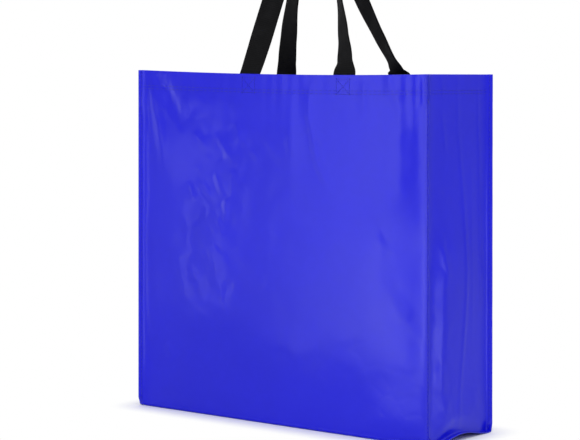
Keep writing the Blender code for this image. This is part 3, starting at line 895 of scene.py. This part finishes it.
spunbond = {
    "blue": colour(0.016, 0.020, 0.500),
    "pressedBlue": colour(0.010, 0.013, 0.400),
    "fibres": (900.0, 4.0, 0.7),
    "cloud": (120.0, 4.0, 0.6),
    "cloudSpan": (0.35, 0.70),
    "cloudTint": 0.5,
    "roughness": (0.82, 0.62),       # between the bonds and on them
    "specular": 0.3,
    "sheen": 0.15,
    "bondDepth": 0.00009,
    "fibreDepth": 0.00006,
}


def spunbondMaterial():
    shader = newShader("spunbond_inside")
    place, pressed = shader.coordinates("Object"), bondPattern(shader, shader.coordinates("UV"))
    cloud = shader.spread(shader.noise(place, spunbond["cloud"]), spunbond["cloudSpan"])
    tone = shader.between(pressed, spunbond["blue"], spunbond["pressedBlue"])
    tone = shader.between(cloud * spunbond["cloudTint"], tone, spunbond["pressedBlue"])
    rough = shader.spread(pressed, (0.0, 1.0), spunbond["roughness"])
    relief = shader.noise(place, spunbond["fibres"]) * spunbond["fibreDepth"]
    relief = relief - pressed * spunbond["bondDepth"]
    return shader.principled(tone, rough, relief, spunbond["specular"], spunbond["sheen"])


webbing = {
    "black": colour(0.0028, 0.0028, 0.0032),
    "worn": colour(0.0085, 0.0085, 0.0095),
    "ribPitch": 0.0024,
    "yarnPitch": 0.0016,
    "yarnBend": 1.3,         # how far a yarn pushes a rib aside, in radians
    "ribShare": 0.6,
    "weaveSpan": (-0.9, 0.9),
    "fluff": (700.0, 4.0, 0.7),
    "wear": (60.0, 4.0, 0.55),
    "wearSpan": (0.45, 0.75),
    "weaveTint": 0.5,
    "wearTint": 0.3,
    "roughSpan": (0.0, 1.3),
    "roughness": (0.85, 0.62),
    "specular": 0.06,
    "depth": 0.00022,
    "fluffDepth": 0.00006,
}


def webbingMaterial():
    shader = newShader("black_webbing_weave")
    place = shader.coordinates("Object")
    across, along, _ = shader.parts(shader.coordinates("UV"))
    yarn = shader.maths("SINE", across * (2 * math.pi / webbing["yarnPitch"]))
    rib = shader.maths("SINE", along * (2 * math.pi / webbing["ribPitch"]) + yarn * webbing["yarnBend"])
    weave = rib * webbing["ribShare"] + yarn * (1.0 - webbing["ribShare"])
    weave = shader.spread(weave, webbing["weaveSpan"])
    wear = shader.spread(shader.noise(place, webbing["wear"]), webbing["wearSpan"]) * webbing["wearTint"]
    tone = shader.between(weave * webbing["weaveTint"] + wear, webbing["black"], webbing["worn"])
    rough = shader.spread(weave + wear, webbing["roughSpan"], webbing["roughness"])
    relief = weave * webbing["depth"] + shader.noise(place, webbing["fluff"]) * webbing["fluffDepth"]
    return shader.principled(tone, rough, relief, webbing["specular"])


# The thread's blues are darker than the film's: partly the thread's own colour, partly painted shade of the
# stitch holes it sinks into
thread = {
    "shadedBlue": colour(0.010, 0.012, 0.300),
    "lightBlue": colour(0.022, 0.026, 0.520),
    "strandTurns": 9000.0,   # radians a metre
    "strandRise": 1.2,
    "strandDepth": 0.00003,
    "lint": (1500.0, 3.0, 0.55),
    "toneSpan": (-0.4, 1.4),
    "roughSpan": (0.30, 0.70),
    "roughness": (0.45, 0.65),
    "specular": 0.25,
}


def threadMaterial():
    shader = newShader("blue_thread")
    place = shader.coordinates("Object")
    across, deep, up = shader.parts(place)
    strand = shader.maths("SINE", (across + up * thread["strandRise"] + deep) * thread["strandTurns"])
    lint = shader.noise(place, thread["lint"])
    tone = shader.spread(strand + lint, thread["toneSpan"])
    # the darker blue is partly the thread's own colour and partly painted shade of its stitch holes
    tone = shader.between(tone, thread["shadedBlue"], thread["lightBlue"])
    rough = shader.spread(lint, thread["roughSpan"], thread["roughness"])
    return shader.principled(tone, rough, strand * thread["strandDepth"], thread["specular"])


# Stitches: a node tree walks each thread line and sets one stitch after another

stitching = {
    "thickness": 0.00055,
    "hemStitch": (0.0052, 0.0014),     # a stitch's length and the gap after it
    "seamStitch": (0.0040, 0.0012),
    "boxStitch": (0.0026, 0.0009),
    "hemDrop": 0.0205,        # middle of the double row below the rim
    "hemRowSpacing": 0.0036,
    "hemEnd": 0.0015,         # a wall's rows stop this far from the seam
    "hemPoints": 260,
    "gussetShare": 0.985,     # share of the gusset that its rows cross
    "gussetPoints": 80,
    "boxWidth": 0.0195,
    "boxHeight": 0.0176,
    "boxDrop": 0.0050,        # top of a handle's sewn box below the rim
    "boxPoints": 12,
    "seamFoot": 0.002,        # a fin's thread starts this far above the base fold
    "seamTop": 0.003,         # and ends this far below the rim
    "seamPoints": 220,
    "baseShare": 0.97,
    "basePoints": 40,
    "sunk": 0.35,             # share of the thread's radius pulled into the cloth
}


def stitchTree():
    tree = bpy.data.node_groups.new("stitch line", "GeometryNodeTree")
    face = tree.interface
    face.new_socket("Geometry", in_out="INPUT", socket_type="NodeSocketGeometry")
    for name in ("Stitch length", "Stitch gap", "Thread thickness"):
        face.new_socket(name, in_out="INPUT", socket_type="NodeSocketFloat")
    face.new_socket("Thread", in_out="INPUT", socket_type="NodeSocketMaterial")
    face.new_socket("Geometry", in_out="OUTPUT", socket_type="NodeSocketGeometry")

    def add(kind, sockets=None, **settings):
        made = tree.nodes.new(kind)
        for name, value in settings.items():
            setattr(made, name, value)
        for name, value in (sockets or {}).items():
            if isinstance(value, bpy.types.NodeSocket):
                tree.links.new(value, made.inputs[name])
            else:
                made.inputs[name].default_value = value
        return made.outputs

    given = add("NodeGroupInput")
    line = add("GeometryNodeMeshToCurve", {"Mesh": given["Geometry"]})
    pitch = add("ShaderNodeMath", {0: given["Stitch length"], 1: given["Stitch gap"]}, operation="ADD")
    spots = add("GeometryNodeCurveToPoints", {"Curve": line[0], "Length": pitch[0]}, mode="LENGTH")
    ball = add("GeometryNodeMeshUVSphere", {"Segments": 6, "Rings": 6, "Radius": 0.5})
    thick, long = given["Thread thickness"], given["Stitch length"]
    size = add("ShaderNodeCombineXYZ", {"X": thick, "Y": thick, "Z": long})
    shaped = add("GeometryNodeTransform", {"Geometry": ball[0], "Scale": size[0]})
    smooth = add("GeometryNodeSetShadeSmooth", {"Geometry": shaped[0]})
    placed = add("GeometryNodeInstanceOnPoints", {"Points": spots["Points"], "Instance": smooth[0],
                                                  "Rotation": spots["Rotation"]})
    real = add("GeometryNodeRealizeInstances", {"Geometry": placed[0]})
    dressed = add("GeometryNodeSetMaterial", {"Geometry": real[0], "Material": given["Thread"]})
    add("NodeGroupOutput", {"Geometry": dressed[0]})
    return tree


def stitches(name, lines, stitch):
    points, edges = [], []
    for line in lines:
        first = len(points)
        points += [tuple(point) for point in line]
        edges += [(k, k + 1) for k in range(first, len(points) - 1)]
    mesh = bpy.data.meshes.new(name + " lines")
    mesh.from_pydata(points, edges, [])
    item = bpy.data.objects.new(name, mesh)
    bpy.context.scene.collection.objects.link(item)
    modifier = item.modifiers.new("stitches", "NODES")
    modifier.node_group = stitchLine
    values = {"Stitch length": stitch[0], "Stitch gap": stitch[1],
              "Thread thickness": stitching["thickness"], "Thread": threadFinish}
    for socket in stitchLine.interface.items_tree:
        if socket.in_out == "INPUT" and socket.name in values:
            modifier[socket.identifier] = values[socket.name]
    bpy.context.view_layer.update()
    evaluated = item.evaluated_get(bpy.context.evaluated_depsgraph_get())
    made = bpy.data.meshes.new_from_object(evaluated)
    made.name = name
    item.modifiers.clear()
    item.data = made
    bpy.data.meshes.remove(mesh)
    print("made", name, "with", len(made.polygons), "faces")
    return item


def threadLift():
    return skin + stitching["thickness"] / 2 * (1.0 - stitching["sunk"])


def threadInset(outside, extra=0.0):
    # how far inside a wall's outer layer a thread runs, on the bag's outside or on the hem's inside
    return -threadLift() if outside else layerStep + extra + threadLift()


def wallLine(x, z, end, outside, extra=0.0):
    x, z = np.broadcast_arrays(np.asarray(x, float), np.asarray(z, float))
    return wallPoints(x / halfWidth(z), z, end, threadInset(outside, extra))


def hemLines():
    lines = []
    share = np.linspace(-1.0, 1.0, stitching["gussetPoints"]) * stitching["gussetShare"]
    for offset in (-0.5, 0.5):
        z = rimHeight - stitching["hemDrop"] + offset * stitching["hemRowSpacing"]
        reach = halfWidth(z) - stitching["hemEnd"]
        for outside in (True, False):
            for end in (-1, 1):
                lines.append(wallLine(np.linspace(-reach, reach, stitching["hemPoints"]), z, end, outside))
            for side in (-1, 1):
                lines.append(gussetPoints(share, np.full(len(share), z), side, threadInset(outside)))
    return lines


def boxLines():
    # a box and its cross at each leg, seen on the wall and on the webbing
    lines = []
    wide, tall = stitching["boxWidth"] / 2, stitching["boxHeight"]
    corners = ((-wide, 0.0), (wide, 0.0), (wide, -tall), (-wide, -tall))
    steps = np.linspace(0.0, 1.0, stitching["boxPoints"])
    top = rimHeight - stitching["boxDrop"]
    onWebbing = seam["gap"] + handles["thickness"] - skin
    for end, pair in ((-1, handles["front"]), (1, handles["back"])):
        for leg in pair:
            for first, second in ((0, 1), (1, 2), (2, 3), (3, 0), (0, 2), (1, 3)):
                (x0, z0), (x1, z1) = corners[first], corners[second]
                x, z = leg["across"] + x0 + (x1 - x0) * steps, top + z0 + (z1 - z0) * steps
                lines += [wallLine(x, z, end, True), wallLine(x, z, end, False, onWebbing)]
    return lines


def threadPlace(station, layer, outwards):
    place, out, toGusset, _ = station
    lift = np.asarray(outwards * seam["pressed"] + threadLift())[..., None]
    return place + out * seam["fin"] * seam["stitchPlace"] + layer * toGusset * lift


def finLines():
    # along the middle of each fin, on both of its faces
    lines = []
    lowest = seamHeight + seam["foldRadius"] + stitching["seamFoot"]
    height = np.linspace(lowest, rimHeight - stitching["seamTop"], stitching["seamPoints"])
    shares = np.linspace(-1.0, 1.0, stitching["basePoints"]) * stitching["baseShare"]
    for side in (-1, 1):
        base = [baseStation(float(share), side) for share in shares]
        for layer in (-1, 1):
            for end in (-1, 1):
                lines.append(threadPlace(uprightStations(height, side, end), layer, layersOut(height, 0.0)))
            lines.append(np.array([threadPlace(station, layer, halfLayer) for station in base]))
    return lines


# The bag's pieces

clothFinishes = [filmMaterial("blue_film_laminate"), spunbondMaterial()]
webbingFinish = webbingMaterial()
threadFinish = threadMaterial()
print("finishes made")

bagStrip = stripCloth().made("bag_strip", clothFinishes, seam["laminate"])
leftGusset = gussetCloth(-1).made("left_gusset_sheet", clothFinishes, seam["laminate"])
rightGusset = gussetCloth(1).made("right_gusset_sheet", clothFinishes, seam["laminate"])
frontHandle = handleCloth(handles["front"], -1).made("front_handle_webbing", [webbingFinish])
backHandle = handleCloth(handles["back"], 1).made("back_handle_webbing", [webbingFinish])

stitchLine = stitchTree()
hemThread = stitches("hem_stitches", hemLines(), stitching["hemStitch"])
boxThread = stitches("handle_box_stitches", boxLines(), stitching["boxStitch"])
seamThread = stitches("side_seam_stitches", finLines(), stitching["seamStitch"])

for piece, node, slot in ((bagStrip, "body_panel", "laminate"), (leftGusset, "left_gusset", "laminate"),
                          (rightGusset, "right_gusset", "laminate"), (frontHandle, "front_handle", "webbing"),
                          (backHandle, "back_handle", "webbing")):
    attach(piece, "root")
    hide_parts(node)
for piece in (hemThread, boxThread, seamThread):
    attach(piece, "root")
print("pieces ride on the bag")


# Floor, light and camera

studio = {
    "floorSize": 24.0,
    "floorAlbedo": 0.90,
    "footprint": (0.220, 0.0625),
    "whiteSpan": (0.002, 0.045),    # how far outside the footprint the floor turns to the background
    "sideDimming": 0.34,      # how much darker the room is that the right-hand gusset mirrors
    "sideWay": (0.5, 0.85),   # which way that is, across and deep
    "sideSpan": (0.55, 0.90),
    "backDimming": 0.34,      # and straight behind the bag
    "backSpan": (0.86, 0.98),
    "horizon": 0.32,          # world light, level with the floor and straight up
    "zenith": 1.40,
}
white = colour(1.0, 1.0, 1.0)


def mirroredRoom(shader, across, deep):
    # where the plain background is seen, and its strength, which in gloss falls to the right and behind
    toSide = across * studio["sideWay"][0] + deep * studio["sideWay"][1]
    dimmed = shader.spread(toSide, studio["sideSpan"]) * studio["sideDimming"]
    dimmed = dimmed + shader.spread(deep, studio["backSpan"]) * studio["backDimming"]
    glossy = shader.ray("Is Glossy Ray")
    seen = shader.ray("Is Camera Ray") + glossy + shader.ray("Is Transmission Ray")
    return seen, 1.0 - dimmed * glossy


def flatLength(across, deep):
    return (across * across + deep * deep) ** 0.5


def makeFloor():
    bpy.ops.mesh.primitive_grid_add(x_subdivisions=8, y_subdivisions=8, size=studio["floorSize"])
    floor = bpy.context.object
    floor.name = "studio_floor"
    shader = newShader("studio_floor_white")
    across, deep, _ = shader.parts(shader.coordinates("Object"))
    beyond = [shader.maths("MAXIMUM", shader.maths("ABSOLUTE", part) - half, 0.0)
              for part, half in zip((across, deep), studio["footprint"])]
    reach = flatLength(across, deep) + 0.001     # never nothing, as it divides
    seen, strength = mirroredRoom(shader, across / reach, deep / reach)
    grey = studio["floorAlbedo"]
    matte = shader.node("ShaderNodeBsdfDiffuse", None, {"Color": colour(grey, grey, grey)})
    plain = shader.node("ShaderNodeEmission", None, {"Color": white, "Strength": strength})
    factor = seen * shader.spread(flatLength(*beyond), studio["whiteSpan"])
    floor.data.materials.append(shader.finished(
        shader.node("ShaderNodeMixShader", None, {0: factor, 1: matte, 2: plain})))


def makeWorld():
    world = bpy.data.worlds.new("studio_world")
    bpy.context.scene.world = world
    shader = Shader(world)
    across, deep, up = shader.parts(shader.coordinates("Generated"))
    skyward = shader.maths("MAXIMUM", up, 0.0) * (studio["zenith"] - studio["horizon"]) + studio["horizon"]
    light = shader.node("ShaderNodeBackground", None, {"Color": white, "Strength": skyward})
    seen, strength = mirroredRoom(shader, across, deep)
    plain = shader.node("ShaderNodeBackground", None, {"Color": white, "Strength": strength})
    surface = shader.node("ShaderNodeMixShader", None, {0: seen, 1: light, 2: plain})
    shader.finished(surface, "ShaderNodeOutputWorld")


softboxes = (   # name, place, aim, width, height, radiance; all but the last only show in gloss
    ("broad_panel", (-0.140, -0.40, 0.375), (-0.140, 0.0, 0.375), 0.24, 0.75, 1.6),
    ("middle_panel", (-0.305, -0.40, 0.375), (-0.305, 0.0, 0.375), 0.08, 0.75, 0.4),
    ("right_panel", (-0.115, -0.43, 0.375), (-0.115, 0.0, 0.375), 0.15, 0.75, 0.7),
    ("low_panel", (0.070, -0.25, 0.120), (0.070, 0.0, 0.120), 0.08, 0.240, 1.4),
    ("crinkle_strip", (-0.455, -0.46, 0.205), (-0.455, 0.0, 0.205), 0.058, 0.330, 3.2),
    ("edge_panel", (-0.90, -0.48, 0.22), (0.21, -0.07, 0.22), 0.18, 0.50, 1.8),
    ("gusset_panel", (0.90, 0.22, 0.08), (0.22, -0.02, 0.08), 0.36, 0.36, 1.8),
    ("low_gusset_panel", (0.43, 0.09, 0.055), (0.22, -0.035, 0.055), 0.08, 0.11, 1.3),
    ("back_panel", (0.130, 0.40, 0.375), (0.130, 0.0, 0.375), 0.24, 0.75, 1.8),
    ("right_softbox", (0.80, -1.10, 0.60), (0.12, 0.0, 0.22), 0.50, 0.70, 3.8),
)


def makeSoftboxes():
    for name, place, aim, width, height, radiance in softboxes:
        lamp = bpy.data.lights.new(name, "AREA")
        lamp.shape = "RECTANGLE"
        lamp.size, lamp.size_y = width, height
        lamp.energy = math.pi * radiance * width * height
        item = bpy.data.objects.new(name, lamp)
        bpy.context.scene.collection.objects.link(item)
        item.location = place
        across, deep, up = np.array(aim) - np.array(place)
        item.rotation_euler = (math.atan2(math.hypot(across, deep), -up), 0.0, math.atan2(-across, deep))
        item.visible_camera = False
        item.visible_diffuse = name == "right_softbox"
        item.visible_glossy = not item.visible_diffuse


photo = {
    "width": 580,             # the photograph's frame, in pixels
    "focal": 1830.0,          # distance to the picture plane, in the same pixels
    "sensor": 36.0,
    "nearest": 0.05,          # nothing closer to the camera is drawn
    "place": (1.3728, -1.7768, 0.42075),
    "pitch": 4.44,            # degrees below level
    "heading": 38.28,
}


def makeCamera():
    camera = bpy.data.cameras.new("photo_camera")
    camera.sensor_width = photo["sensor"]
    camera.lens = photo["focal"] / photo["width"] * photo["sensor"]
    camera.clip_start = photo["nearest"]
    item = bpy.data.objects.new("photo_camera", camera)
    bpy.context.scene.collection.objects.link(item)
    item.location = photo["place"]
    item.rotation_euler = (math.radians(90.0 - photo["pitch"]), 0.0, math.radians(photo["heading"]))
    bpy.context.scene.camera = item


makeFloor()
makeWorld()
makeSoftboxes()
makeCamera()
bpy.context.scene.view_settings.view_transform = "Standard"
print("floor, light and camera set")
